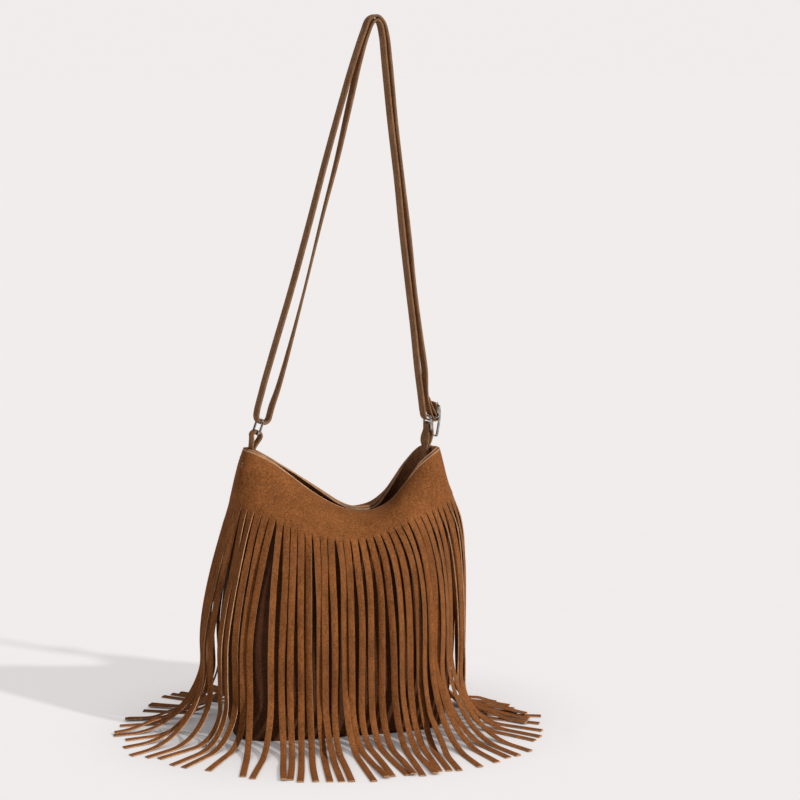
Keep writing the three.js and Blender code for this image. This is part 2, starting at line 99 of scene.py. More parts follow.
# Where the strands' tips lie, from the left seam to the right one. The front ones gather in
# bundles.
TIPS_FRONT = [
    (-207, -31), (-203, -54), (-189, -63), (-177, -68), (-169, -89), (-160, -97), (-140, -109),
    (-112, -132), (-105, -139), (-79, -150), (-71, -150), (-63, -157), (-52, -159), (-39, -162),
    (-29, -164), (-19, -166), (-1, -170), (10, -165), (21, -161), (30, -160), (38, -163),
    (47, -166), (56, -165), (64, -158), (72, -159), (81, -160), (101, -157), (120, -148),
    (133, -137), (143, -134), (158, -126), (170, -97), (178, -88), (184, -72), (188, -50),
    (187, -28),
]
# The first back strands at the right seam are swept forwards, as their tips are seen there. From
# them on, those behind the bag follow a plain curve, which is written from the left seam.
TIPS_BACK_RIGHT = [
    (170, -45), (176, -34), (172, -20), (165, -12), (160, -2), (154, 6), (150, 15), (140, 26),
    (128, 85),
]
SPLAY_BACK = [
    (-196, -14), (-213, -3), (-207, 22), (-199, 46), (-175, 76), (-160, 108), (-130, 123),
    (-60, 128), (0, 124), (60, 116), (108, 96),
]
# How far the front strands hang along the skirt from an even spread, by strand number. Those in
# the middle are swept to the right, with a wide gap at each side of them.
HANG_SHIFT = [
    (0, 0), (1, -2), (2, 0), (3, 2), (5, 2), (7, 0), (8, 11.5), (9, 14), (13, 12.5), (15, 8.5),
    (16, 13), (17, 10), (18, 9), (19, 11), (21, 15), (24, 16.5), (28, 6.5), (31, 0), (35, 0),
]

# How finely the surfaces are cut: columns across a strand, and rows down the yoke and a strand

COLUMNS = 4
PER_HALF = STRANDS * COLUMNS
YOKE_SHARES = np.concatenate([[0, 0.028], np.linspace(0.07, 1, 16)])
STRAND_STOPS = np.concatenate([[0, 0.8, 2, 3.6, 5.8, 8.6], np.linspace(12, STRAND_LENGTH, 74)])
STRAND_WIDTH = 5.9

# A sheet's material numbers, and the angle from which an edge is sharp

SKIN, CUT_EDGE, INNER_SKIN, RAW_RIM = 0, 1, 2, 3
SHARP_ANGLE = math.radians(40)


def unit(v):
    return v / max(np.linalg.norm(v), 1e-9)


def unit_rows(v):
    """Each row of an array at a length of one."""
    return v / np.maximum(np.linalg.norm(v, axis=-1, keepdims=True), 1e-9)


def smoothstep(low, high, x):
    """From 0 at low to 1 at high. High may be the smaller of the two."""
    t = np.clip((x - low) / (high - low), 0, 1)
    return t * t * (3 - 2 * t)


def run_along(points):
    """How far along a line each of its points lies."""
    return np.concatenate([[0], np.cumsum(np.linalg.norm(np.diff(points, axis=0), axis=1))])


def read_line(places, run, points):
    """A line's points at some places along it."""
    return np.stack([np.interp(places, run, column) for column in points.T], -1)


class Track:
    """A smooth curve through points, read at shares of its length."""

    def __init__(self, points, spans=16):
        p = np.asarray(points, float)
        p = np.vstack([2 * p[0] - p[1], p, 2 * p[-1] - p[-2]])
        dense = []
        for k in range(1, len(p) - 2):
            a, b, c, d = p[k - 1 : k + 3]
            ta, tb, tc = (max(np.linalg.norm(v), 1e-9) ** 0.5 for v in (b - a, c - b, d - c))
            m1 = ((b - a) / ta - (c - a) / (ta + tb) + (c - b) / tb) * tb
            m2 = ((c - b) / tb - (d - b) / (tb + tc) + (d - c) / tc) * tb
            for t in np.arange(spans) / spans:
                h = 1 - 3 * t**2 + 2 * t**3
                dense.append(h * b + (t - 2 * t**2 + t**3) * m1 + (1 - h) * c + (t**3 - t**2) * m2)
        dense.append(p[-2])
        self.points = np.array(dense)
        self.run = run_along(self.points[:, :3])
        self.length = self.run[-1]

    def at(self, share):
        return read_line(np.asarray(share) * self.length, self.run, self.points)


def in_scene(name, data):
    thing = bpy.data.objects.new(name, data)
    bpy.context.scene.collection.objects.link(thing)
    return thing


def mesh_object(name, points_mm, faces, kinds=None):
    """A mesh from millimetre points, with a material number for each face."""
    mesh = bpy.data.meshes.new(name)
    mesh.from_pydata((np.asarray(points_mm) * MM).tolist(), [], faces)
    if kinds is not None:
        mesh.polygons.foreach_set("material_index", kinds)
    mesh.polygons.foreach_set("use_smooth", [True] * len(mesh.polygons))
    mesh.update()
    return in_scene(name, mesh)


class Shell:
    """Collects grids of points, and faces with their material's number."""

    def __init__(self):
        self.points, self.faces, self.kinds = [], [], []

    def add(self, rows):
        """Adds a grid and gives back its point numbers."""
        rows = np.asarray(rows, float)
        first = len(self.points)
        self.points.extend(rows.reshape(-1, 3))
        return np.arange(first, first + rows.shape[0] * rows.shape[1]).reshape(rows.shape[:2])

    def face(self, corners, kind):
        self.faces.append([int(c) for c in corners])
        self.kinds.append(kind)

    def skin(self, outer, inner, frayed_rows=0):
        for r in range(outer.shape[0] - 1):
            kind = RAW_RIM if r < frayed_rows else SKIN
            for j in range(outer.shape[1] - 1):
                a, b = (r, j), (r, j + 1)
                c, d = (r + 1, j + 1), (r + 1, j)
                self.face((outer[a], outer[d], outer[c], outer[b]), kind)
                self.face((inner[a], inner[b], inner[c], inner[d]), INNER_SKIN)

    def sides(self, outer, inner):
        for r in range(outer.shape[0] - 1):
            self.face((outer[r + 1, 0], outer[r, 0], inner[r, 0], inner[r + 1, 0]), CUT_EDGE)
            self.face((outer[r, -1], outer[r + 1, -1], inner[r + 1, -1], inner[r, -1]), CUT_EDGE)

    def end(self, outer, inner, row, flip, kind=CUT_EDGE):
        for j in range(outer.shape[1] - 1):
            corners = (outer[row, j], outer[row, j + 1], inner[row, j + 1], inner[row, j])
            self.face(corners[::-1] if flip else corners, kind)

    def made(self, name):
        piece = mesh_object(name, self.points, self.faces, self.kinds)
        piece.data.set_sharp_from_angle(angle=SHARP_ANGLE)
        return piece


# Rings of points round the bag: left seam, front, right seam, back


def ring(front, back, per_half):
    shares = np.arange(per_half) / per_half
    return np.vstack([Track(front).at(shares), Track(back).at(1 - shares)])


def oval_halves(length, depth, height, squareness, middle_x=0, steps=24):
    """A level oval as its front and back halves. It is an ellipse at a squareness of 2."""
    halves = []
    for side in (-1, 1):
        angle = np.pi * (1 - np.arange(steps + 1) / steps)
        c, s = np.cos(angle), np.sin(angle)
        x = middle_x + np.sign(c) * np.abs(c) ** (2 / squareness) * length / 2
        y = side * np.abs(s) ** (2 / squareness) * depth / 2
        halves.append(np.stack([x, y, np.full_like(x, height)], -1))
    return halves


def ring_normals(rows):
    along = np.roll(rows, -1, axis=1) - np.roll(rows, 1, axis=1)
    above = np.concatenate([rows[:1], rows[:-1]])
    below = np.concatenate([rows[1:], rows[-1:]])
    return unit_rows(np.cross(below - above, along))


def half_of(rows, half):
    """Front (0) or back (1) columns, pulled back from the side seams by half the seam gap."""
    columns = (half * PER_HALF + np.arange(PER_HALF + 1)) % rows.shape[1]
    out = rows[:, columns].copy()
    for edge, sign in ((0, 1), (-1, -1)):
        c = columns[edge]
        tangent = unit_rows(rows[:, (c + 1) % rows.shape[1]] - rows[:, c - 1])
        out[:, edge] += sign * tangent * SEAM_GAP / 2
    return out


rim_ring = ring(RIM_FRONT, RIM_BACK, PER_HALF)
slit_ring = ring(SLIT_FRONT, SLIT_BACK, PER_HALF)


def yoke_ripple(share):
    """Soft waves of the yoke, in millimetres, which die out at the side seams."""
    j = np.arange(2 * PER_HALF) / PER_HALF
    seam_calm = np.abs(np.sin(np.pi * j)) ** 0.5
    long_wave = 0.7 * np.sin(2 * np.pi * (2.6 * j + 0.5 * share) + 0.8)
    short_wave = 0.45 * np.sin(2 * np.pi * (6.1 * j - 0.4 * share))
    return (long_wave + short_wave) * seam_calm


def yoke_surface():
    """The yoke from the rim (share 0) to the slits (share 1), swelling out between them."""
    chord = slit_ring - rim_ring
    along = np.roll(slit_ring, -1, axis=0) - np.roll(slit_ring, 1, axis=0)
    outward = unit_rows(np.cross(chord, along))
    fullness = np.abs(slit_ring[:, 1:2]) / SHOULDER_DEPTH
    rows = []
    for share in YOKE_SHARES:
        swell = 4 * share * (1 - share) * (SEAM_BULGE + (YOKE_BULGE - SEAM_BULGE) * fullness)
        ripple = np.sin(np.pi * share) * yoke_ripple(share)
        rows.append(rim_ring + share * chord + (swell + ripple[:, None]) * outward)
    return np.array(rows)


yoke = yoke_surface()
yoke_normals = ring_normals(yoke)


# Strands. A pair is a range over which something sets in, or one that a random value is drawn
# from. A sway is its size and the range over which it dies out.

SLIT_PULL = 0.27
FLOOR_BEND_RANGE = (FLOOR_BEND - 14, FLOOR_BEND + 32)
LYING_HEIGHT = 12
COVER_HEIGHT = 14
LIFT_MOST = 5.5
LIFT_RANGE = (34, 8)
STACK_GAP = 0.1
LIE_RANGE = (60, 215)
EDGE_ROUNDING = 0.25
SWEPT_LEFT = 1.6
SWEPT_RIGHT = 3.4
SLOPE = 0.32
SLOPE_CHANGE = 0.13
EARLY = 0.28
EARLY_CHANGE = 0.24
BUNDLE_COUNTS = (2, 3, 3, 4, 5)
BUNDLE_SHIFT = (-1.2, 1.2)
BUNDLE_LEAN = (0.7, 1.5)
FRONT_LEAN = 0.4
BACK_BUNDLING = 0.4
CROWDED_PITCH = (6.6, 3.6)
CROWDED_LAYER = 1.7
CROWDED_TURN = 22
KNEE_PLAY = (-1.5, 1.2)
CURL = (-0.07, 0.07)
LOOSE_RANGE = (6, 70)
SIDE_SWAY = (1.9, (260, 150))
FACE_SWAY = (2.2, (200, 140))
TURNS = (-3, -10, -17, -26, -36, 16)
TURN_SWAY = 6
TURN_START = (-2, 26)
TURN_END = (226, 165)
EDGE_ON_TURN = 26
WIDTH_SWAY = 0.2
WIDTH_START = (-1, 4)
CUP = (-0.25, 0.5)
CUP_START = (5, 60)


def bezier(a, b, c, d, steps):
    t = np.linspace(0, 1, steps)[:, None]
    return (1 - t) ** 3 * a + 3 * t * (1 - t) ** 2 * b + 3 * t**2 * (1 - t) * c + t**3 * d


def wander(rng, waves=3, rate=1.0):
    """A slow random wave along a strand, between about -1 and 1."""
    total = np.zeros_like(STRAND_STOPS)
    for k in range(1, waves + 1):
        phase = rng.uniform(0, 2 * np.pi)
        size = rng.uniform(-1, 1) / k
        total += size * np.sin(k * rate * np.pi * STRAND_STOPS / STRAND_LENGTH + phase)
    return total


class FloorMap:
    """Heights of what already lies on the floor, so that a strand lies over those under it."""

    def __init__(self, reach=240, cell=1.5):
        self.reach, self.cell = reach, cell
        size = int(2 * reach / cell)
        self.top = np.zeros((size, size))

    def cells(self, xy):
        place = ((xy + self.reach) / self.cell).astype(int)
        return tuple(np.clip(place, 0, len(self.top) - 1).T)

    def under(self, xy):
        return self.top[self.cells(xy)]

    def cover(self, xy, height):
        np.maximum.at(self.top, self.cells(xy), height)


floor_map = FloorMap()


def rest_on_floor(line, out):
    """Lifts the lying part of a strand over those that are already there."""
    sideways = np.cross(UP, out)
    lying = line[:, 2] < LYING_HEIGHT
    lift = np.zeros(len(line))
    for v in (-3, -1.5, 0, 1.5, 3):
        lift = np.maximum(lift, floor_map.under((line + sideways * v)[:, :2]) * lying)
    widest = np.array([lift[max(k - 3, 0) : k + 4].max() for k in range(len(lift))])
    lift = np.convolve(np.pad(widest, 4, mode="edge"), np.hanning(11)[1:-1] / 5, "valid")
    line[:, 2] += np.minimum(lift, LIFT_MOST) * smoothstep(*LIFT_RANGE, line[:, 2])
    fine = np.linspace(0, len(line) - 1, len(line) * 5)
    dense = read_line(fine, np.arange(len(line)), line)
    dense = dense[dense[:, 2] < COVER_HEIGHT]
    top = dense[:, 2] + FRINGE_THICK / 2 + STACK_GAP
    for v in np.linspace(-3.2, 3.2, 9):
        floor_map.cover((dense + sideways * v)[:, :2], top)


def strand_line(start, leave, knee, tip, curl, sweep_share):
    """The middle line of a strand: off the slits, down the skirt and out over the floor."""
    floor = FRINGE_THICK / 2
    away = (tip - knee) * LEVEL
    out = unit(away)
    fall = start[2] - knee[2]
    drop = bezier(start, start + leave * fall * SLIT_PULL, knee + UP * fall * sweep_share, knee, 60)
    hung = np.linalg.norm(np.diff(drop, axis=0), axis=1).sum()
    plain_reach = STRAND_LENGTH - hung - knee[2]
    bend = np.clip((np.linalg.norm(away) - plain_reach) / (2 - np.pi / 2), *FLOOR_BEND_RANGE)
    bend_top = knee * LEVEL + UP * (floor + bend)
    angle = np.linspace(0, np.pi / 2, 30)[:, None]
    arc = bend_top + out * bend * (1 - np.cos(angle)) - UP * bend * np.sin(angle)
    s = np.linspace(2, STRAND_LENGTH, 90)[:, None]
    flat = arc[-1] + out * s + np.cross(UP, out) * curl * s**2 / 100
    whole = np.vstack([drop, arc, flat])
    return read_line(STRAND_STOPS, run_along(whole), whole), out


def hang_strand(rng, start, across, knee, tip):
    """The middle line of a strand between its slit and its tip, and the way in which it lies."""
    x = start[0]
    outward = np.cross(across, UP)
    aside, fall = (knee - start) @ across, start[2] - knee[2]
    swept = SWEPT_RIGHT if aside > 0 else SWEPT_LEFT
    slope = SLOPE + SLOPE_CHANGE * smoothstep(-110, 110, x)
    slope -= SLOPE_CHANGE * smoothstep(-40, -110, x)
    leave = unit(across * swept * aside / fall + outward * slope - UP)
    early = EARLY + EARLY_CHANGE * smoothstep(-80, 0, x)
    line, out = strand_line(start, leave, knee, tip, rng.uniform(*CURL), early)
    loose = smoothstep(*LOOSE_RANGE, STRAND_STOPS)
    for (size, fade), way in ((SIDE_SWAY, across), (FACE_SWAY, outward)):
        sway = wander(rng) * loose * smoothstep(*fade, STRAND_STOPS) * size
        line = line + sway[:, None] * way
    rest_on_floor(line, out)
    return line, out


def strand_twist(rng, half, x, crowded):
    """How far a strand's face is turned about its line. Those near the left seam are edge-on."""
    turn = rng.choice(TURNS) - CROWDED_TURN * crowded + TURN_SWAY * wander(rng, 2)
    edge_on = smoothstep(-55, -85, x) * smoothstep(-102, -94, x)
    turn = turn + EDGE_ON_TURN * edge_on * (1 if half == 0 else -0.5)
    span = smoothstep(*TURN_START, STRAND_STOPS) * smoothstep(*TURN_END, STRAND_STOPS)
    return np.radians(turn) * span


def strand_rows(line, across, out, width, twist, cup):
    """Outer and inner rows of a strand, with its width turned by twist and hollowed by cup."""
    tangent = unit_rows(np.gradient(line, axis=0))
    lie = smoothstep(*LIE_RANGE, STRAND_STOPS)[:, None]
    side = across * (1 - lie) + np.cross(UP, out) * lie
    side = unit_rows(side - (side * tangent).sum(1, keepdims=True) * tangent)
    face = np.cross(tangent, side)
    c, k = np.cos(twist)[:, None], np.sin(twist)[:, None]
    side, face = side * c + face * k, face * c - side * k
    v = np.linspace(-1, 1, COLUMNS + 1)[None, :, None]
    middle = line[:, None] + side[:, None] * v * width[:, None, None] / 2
    middle = middle + face[:, None] * (cup[:, None, None] * (1 - v**2))
    depth = face[:, None] * FRINGE_THICK / 2 * (1 - EDGE_ROUNDING * v**6)
    return middle + depth, middle - depth


def bundles(rng):
    """How far each strand leans along the skirt, as neighbours hang together in small bundles."""
    lean, i = [], 0
    while i < STRANDS:
        count = min(rng.choice(BUNDLE_COUNTS), STRANDS - i)
        shift = rng.uniform(*BUNDLE_SHIFT)
        for k in range(count):
            lean.append(shift - (k - (count - 1) / 2) * rng.uniform(*BUNDLE_LEAN))
        i += count
    return lean


def hanging_places(skirt, half, shifts):
    """Where the strands of a half hang at the skirt's height, shifted along it by millimetres."""
    loop = np.vstack([skirt, skirt[:2]])
    run = run_along(loop)
    middle = run[2 * (half * STRANDS + np.arange(STRANDS)) + 1]
    return read_line(np.clip(middle + shifts, run[0], run[-1]), run, loop)


def strand_tips(half):
    """Where the tips of a half's strands lie on the floor, in the order of the strands."""
    places = TIPS_FRONT
    if half == 1:
        count = np.arange(STRANDS - len(TIPS_BACK_RIGHT))
        along = (count + 0.5 + BACK_BUNDLING * np.sin(2.2 * count)) / len(count)
        places = TIPS_BACK_RIGHT + list(Track(SPLAY_BACK).at(along))[::-1]
    return [np.array((x, y, 0.0)) for x, y in places]


def fringe(half, name):
    shell = Shell()
    outer = shell.add(half_of(yoke, half))
    inner = shell.add(half_of(yoke - yoke_normals * FRINGE_THICK, half))
    shell.skin(outer, inner, 1)
    shell.sides(outer, inner)
    shell.end(outer, inner, 0, False, RAW_RIM)
    yoke_points = np.array(shell.points)
    skirt = ring(*oval_halves(*SKIRT_OVAL, SKIRT_SHIFT), STRANDS * 2)
    rng = random.Random(20 + half)
    leans = np.array(bundles(rng))
    if half == 0:
        leans = FRONT_LEAN * leans + np.interp(np.arange(STRANDS), *zip(*HANG_SHIFT))
    tips = strand_tips(half)
    knees = hanging_places(skirt, half, leans)
    pitches = np.gradient(knees, axis=0)[:, 0] * (1 if half == 0 else -1)
    crowded = smoothstep(*CROWDED_PITCH, pitches)
    order = list(range(STRANDS))
    rng.shuffle(order)
    for i in order:
        span = slice(i * COLUMNS, (i + 1) * COLUMNS + 1)
        top, under = yoke_points[outer[-1, span]], yoke_points[inner[-1, span]]
        start = (top.mean(0) + under.mean(0)) / 2
        across = unit(unit(top[-1] - top[0]) * LEVEL)
        layer = CROWDED_LAYER * (i % 2) * crowded[i]
        knee = knees[i] + np.cross(across, UP) * (layer + rng.uniform(*KNEE_PLAY))
        line, out = hang_strand(rng, start, across, knee, tips[i])
        twist = strand_twist(rng, half, start[0], crowded[i])
        pitch = np.linalg.norm(top[-1] - top[0])
        own = STRAND_WIDTH + WIDTH_SWAY * wander(rng, 5, 2)
        width = pitch + (own - pitch) * smoothstep(*WIDTH_START, STRAND_STOPS)
        cup = rng.uniform(*CUP) * smoothstep(*CUP_START, STRAND_STOPS)
        rows_out, rows_in = strand_rows(line, across, out, width, twist, cup)
        grid_out = np.vstack([outer[-1:, span], shell.add(rows_out[1:])])
        grid_in = np.vstack([inner[-1:, span], shell.add(rows_in[1:])])
        shell.skin(grid_out, grid_in)
        shell.sides(grid_out, grid_in)
        shell.end(grid_out, grid_in, -1, True)
    return shell.made(name)


# Walls and base

SIDE_EASE = 0.45
LOWER_ROWS = 30


def body_surface():
    """The walls from their raw rim, which stands proud of the yoke's, down to the base panel."""
    upper = yoke - yoke_normals * (FRINGE_THICK + SEAM_GAP)
    under = upper[-1]
    ovals = (BELLY_OVAL, HEEL_OVAL, BASE_OVAL)
    belly, heel, foot = (ring(*oval_halves(*oval), PER_HALF) for oval in ovals)
    controls = [under, under + (belly - under) * SIDE_EASE, belly, heel, foot]
    lower = []
    for column in range(under.shape[0]):
        track = Track([row[column] for row in controls])
        lower.append(track.at(np.linspace(0, 1, LOWER_ROWS)))
    lower = np.array(lower).transpose(1, 0, 2)
    stand = unit_rows(upper[0] - upper[2])
    j = np.arange(2 * PER_HALF) / PER_HALF
    uneven = 0.85 + 0.2 * np.sin(2 * np.pi * 2.3 * j + 1)
    proud = RIM_STAND * np.abs(np.sin(np.pi * j)) ** 0.35 * uneven
    rim = upper[:1] + stand * proud[:, None]
    band = upper[:1] + stand * np.maximum(proud - RIM_EDGE, 0.02)[:, None]
    return np.concatenate([rim, band, upper[1:], lower[1:]])


def body_panel(half, name):
    outer_rows = body_surface()
    inner_rows = outer_rows - ring_normals(outer_rows) * BODY_THICK
    inner_rows[-1, :, 2] = BASE_THICK + SEAM_GAP
    shell = Shell()
    outer = shell.add(half_of(outer_rows, half))
    inner = shell.add(half_of(inner_rows, half))
    shell.skin(outer, inner, 1)
    shell.sides(outer, inner)
    shell.end(outer, inner, 0, False, RAW_RIM)
    shell.end(outer, inner, -1, True)
    return shell.made(name)


# Fittings at the side seams. In their side view, x runs along the bag from the ring's lower bar and
# y along its bars. From the first to the second height of STRAP_TURN, the strap turns from that
# view to the bag's frame.

HARDWARE_TURN = math.radians(16)
WIRE = 1.2
RING_LENGTH = 14
RING_INNER = 11.2
RING_CORNER = 3
STRAP_WIDTH = 10
STRAP_THICK = 2.4
STRAP_THIN = 1.4
STRAP_TURN = (300, 360)
STRAP_PLAY = 1.4
TURN_RADIUS = 6.6
TURN_OFFSET = 2.3
TAB_WIDTH = 9
TAB_THICK = 1.8
TAB_DEPTH = 13
LOOP_START = 1.12
LOOP_TURN = 1.24
TWIST_SHIFT = 0.6 / 45
# Each side's ring bar and seam as x and z, the ring's lean and the way inwards, then the tab's room
# beside the wall, its loop's radius, the loop's room over the bar, and the twist in degrees
LEFT = {
    "bar": (-75.5, 285.9), "seam": (-87, 272), "lean": math.radians(20.9), "inward": 1,
    "clear": 2.3, "loop": 4.6, "play": 0.5, "twist": 0,
}
RIGHT = {
    "bar": (90.2, 282.7), "seam": (93, 267.5), "lean": math.radians(-4.9), "inward": -1,
    "clear": SEAM_GAP, "loop": 2.5, "play": 4.8, "twist": 34,
}
# The buckle's centre bar lies beside and above the right ring's lower bar. Its own points are x
# and z from that centre bar.
BUCKLE_BESIDE = 5.0
BUCKLE_LIFT = 12.3
BUCKLE_BAR = 1.0
BUCKLE_WIDTH = 13.4
BUCKLE_TOP = (3.1, 12)
BUCKLE_FOOT = (0.8, -18)
BUCKLE_BOW = [BUCKLE_FOOT, (1.9, -12), (3.2, -5), (3.7, 0), (4.0, 5), BUCKLE_TOP]
BUCKLE_MIDDLE = (2.5, 0, -3)
BUCKLE_WIRE = (1.8, 2.4, 0.6)
BUCKLE_INSET = 0.6
BUCKLE_CORNER = 1.2
BAR_END_BEND = 3.0
TONGUE_WIDTH = 1.6
TONGUE_THICK = 0.9
TONGUE_REACH = 13.5
TONGUE_PLAY = 0.3
TONGUE_BOW = [(3.4, 1.6), (4.9, 4.5), (5.2, 8)]
TONGUE_TAPER = 0.35
STRIP_ROUNDING = 0.32


def side_to_bag(side, points):
    """From a side view to the bag's frame."""
    p = np.asarray(points, float)
    c, s = math.cos(HARDWARE_TURN), math.sin(HARDWARE_TURN)
    x = side["bar"][0] + p[..., 0] * c - p[..., 1] * s
    y = p[..., 0] * s + p[..., 1] * c
    return np.stack([x, y, p[..., 2]], -1)


def side_way(side, directions):
    """From directions in a side view to ones in the bag's frame."""
    return side_to_bag(side, directions) - side_to_bag(side, (0, 0, 0))


BUCKLE_BAR_X = RIGHT["bar"][0] + BUCKLE_BESIDE
BUCKLE_BAR_Z = RIGHT["bar"][1] + BUCKLE_LIFT
BUCKLE_CENTRE = np.array([BUCKLE_BESIDE, 0, BUCKLE_BAR_Z])


def sweep(name, line, side, face, sections, closed=False, kinds=None):
    """A solid along a line. Each station's section is (side, face) pairs, counter-clockwise."""
    count, corners = len(line), len(sections[0])
    points = []
    for p, a, b, shape in zip(line, side, face, sections):
        points.extend(p + a * u + b * v for u, v in shape)
    faces, made_kinds = [], []
    for k in range(count if closed else count - 1):
        n = (k + 1) % count
        for c in range(corners):
            d = (c + 1) % corners
            faces.append((k * corners + c, k * corners + d, n * corners + d, n * corners + c))
            made_kinds.append(kinds[c] if kinds else SKIN)
    if not closed:
        faces.append(tuple(range(corners))[::-1])
        faces.append(tuple((count - 1) * corners + c for c in range(corners)))
        made_kinds += [CUT_EDGE if kinds else SKIN] * 2
    piece = mesh_object(name, points, faces, made_kinds)
    fix_outside(piece)
    return piece


def fix_outside(piece):
    work = bmesh.new()
    work.from_mesh(piece.data)
    bmesh.ops.recalc_face_normals(work, faces=work.faces)
    work.to_mesh(piece.data)
    work.free()
    piece.data.update()


def round_corners(half_wide, half_tall, radius, steps):
    """Points round a rectangle with rounded corners, each with the way out of it."""
    loop = []
    for quarter in range(4):
        su = 1 if quarter in (0, 3) else -1
        sv = 1 if quarter < 2 else -1
        for i in range(steps + 1):
            angle = (quarter + i / steps) * math.pi / 2
            out = (math.cos(angle), math.sin(angle))
            u = su * (half_wide - radius) + radius * out[0]
            v = sv * (half_tall - radius) + radius * out[1]
            loop.append(((u, v), out))
    return loop


def rounded(width, thick, radius=None, steps=3):
    """The section of a strip or flat wire, as (side, face) pairs."""
    r = thick * STRIP_ROUNDING if radius is None else radius
    return [point for point, _ in round_corners(width / 2, thick / 2, r, steps)]


def circle(radius, steps=16):
    turns = (2 * math.pi * i / steps for i in range(steps))
    return [(radius * math.cos(t), radius * math.sin(t)) for t in turns]


def ring_top(side):
    """Where the middle of a ring's top bar is, as x and z in the bag's frame."""
    x = side["bar"][0] + RING_LENGTH * math.sin(side["lean"])
    return x, side["bar"][1] + RING_LENGTH * math.cos(side["lean"])


def wire_ring(side, name):
    half_wide = RING_INNER / 2 + WIRE
    half_tall = RING_LENGTH / 2
    loop = round_corners(half_wide, half_tall, RING_CORNER, 8)
    line = [(0, u, v + half_tall) for (u, v), _ in loop]
    out = [(0, *way) for _, way in loop]
    c, k = math.cos(side["lean"]), math.sin(side["lean"])
    tilt = np.array([[c, 0, k], [0, 1, 0], [-k, 0, c]])
    line = np.array(line) @ tilt.T + (0, 0, side["bar"][1])
    flat = np.tile(tilt @ (1, 0, 0), (len(line), 1))
    out, flat = side_way(side, np.array(out) @ tilt.T), side_way(side, flat)
    wires = [circle(WIRE)] * len(line)
    return sweep(name, side_to_bag(side, line), out, flat, wires, closed=True)


def strip_frames(line, turn):
    """The ways across a strip, at an angle from the y axis, and out of its face."""
    across = np.stack([-np.sin(turn), np.cos(turn), np.zeros_like(turn)], -1)
    tangent = unit_rows(np.gradient(line, axis=0))
    side = unit_rows(across - (across * tangent).sum(1, keepdims=True) * tangent)
    return side, np.cross(tangent, side)


def tab_path(side):
    """A tab's middle line in the side view, up from one end in the seam and down to the other."""
    wall = FRINGE_THICK + SEAM_GAP + BODY_THICK
    bar_z, loop = side["bar"][1], side["loop"]
    seam_x, seam_z = side["seam"]
    loop_z = bar_z + WIRE + side["play"] + TAB_THICK / 2 - loop
    inside = wall + side["clear"] + TAB_THICK + SEAM_GAP / 2
    foot_x = seam_x - side["bar"][0] + side["inward"] * inside
    apart = (TAB_THICK + SEAM_GAP) / 2
    heights = (seam_z - TAB_DEPTH, seam_z - TAB_DEPTH / 2, seam_z)
    points = [(foot_x - apart, z) for z in heights]
    waist = [bar_z - 1.5] if loop_z > bar_z else []
    points += [(-loop, z) for z in waist]
    for i in range(7):
        angle = math.pi * (LOOP_START - LOOP_TURN * i / 6)
        points.append((loop * math.cos(angle), loop_z + loop * math.sin(angle)))
    points += [(loop, z) for z in waist]
    points += [(foot_x + apart, z) for z in heights[::-1]]
    return Track([(x, 0, z) for x, z in points]).at(np.linspace(0, 1, 60))


def tab(side, name):
    strip = tab_path(side)
    height, bar_z, seam_z = strip[:, 2], side["bar"][1], side["seam"][1]
    turned = smoothstep(bar_z + 1, bar_z - 8, height) * smoothstep(seam_z - 2, seam_z + 6, height)
    strip[:, 0] += side["inward"] * TWIST_SHIFT * turned * side["twist"]
    line = side_to_bag(side, strip)
    turn = HARDWARE_TURN + math.radians(side["twist"]) * turned
    a, b = strip_frames(line, turn)
    section = rounded(TAB_WIDTH, TAB_THICK)
    return sweep(name, line, a, b, [section] * len(line), kinds=edge_kinds(section))


def edge_kinds(section):
    """The material numbers round a strip's section, which differ on its two cut edges."""
    kinds = []
    widest = max(u for u, _ in section)
    for k, (u, _) in enumerate(section):
        n = section[(k + 1) % len(section)]
        kinds.append(CUT_EDGE if abs(u + n[0]) / 2 > widest * 0.97 else SKIN)
    return kinds


# The strap's runs from the buckle to the right ring, as x and z in the bag's frame. Some points of
# the left inner run also have the turn of its face in degrees.
RIGHT_OUTER_RUN = [
    (86.4, 340), (81, 379), (75.8, 417), (70, 473), (64, 520), (57.5, 575), (52.3, 630),
]
OUTER_CROWN = [(49, 655), (45.5, 665), (40, 669.8), (33.5, 667), (28.2, 655)]
LEFT_OUTER_RUN = [
    (19.5, 630), (8.4, 594), (-7.5, 539), (-22.5, 484), (-40.7, 420), (-57.9, 364), (-68.5, 327),
]
LEFT_INNER_RUN = [
    (-59, 310), (-53.4, 326, 10), (-43.4, 364, 0), (-28.4, 419, -10), (-11, 487, -4), (3, 539, 6),
    (15, 590), (24.5, 630),
]
INNER_CROWN = [(31, 652), (36, 663.5), (40, 666.2), (43, 663.5), (45.8, 652)]
RIGHT_INNER_RUN = [
    (48, 630), (53.5, 575), (60, 520), (64.7, 473), (71.2, 417), (75.8, 379), (79.5, 340),
    (82, 318),
]
# The strap at its ends: x and z from the buckle's bar, or from the right ring's top bar, with the
# thickness, and the turns round the bars in degrees
SEWN_END = [(-6.6, 20, 0.7), (-6.1, 18.5, STRAP_THIN), (-3.7, 12, STRAP_THIN)]
SEWN_TURN = (20, -20, -60, -90, -120, -160)
SEWN_RISE = [(-5.3, 9, STRAP_THIN), (-8.1, 23, (STRAP_THIN + STRAP_THICK) / 2)]
LEFT_TURN = (172, 207, 237, 267, 297, 327, 352)
RING_PASS = [(-4.6, 3, STRAP_THICK), (-3.5, -1.6, 1.8), (-0.4, -3.8, 1.6)]
TAIL_TURN = (-115, -85, -50, -15, 15, 45)
STRAP_STEPS = 900


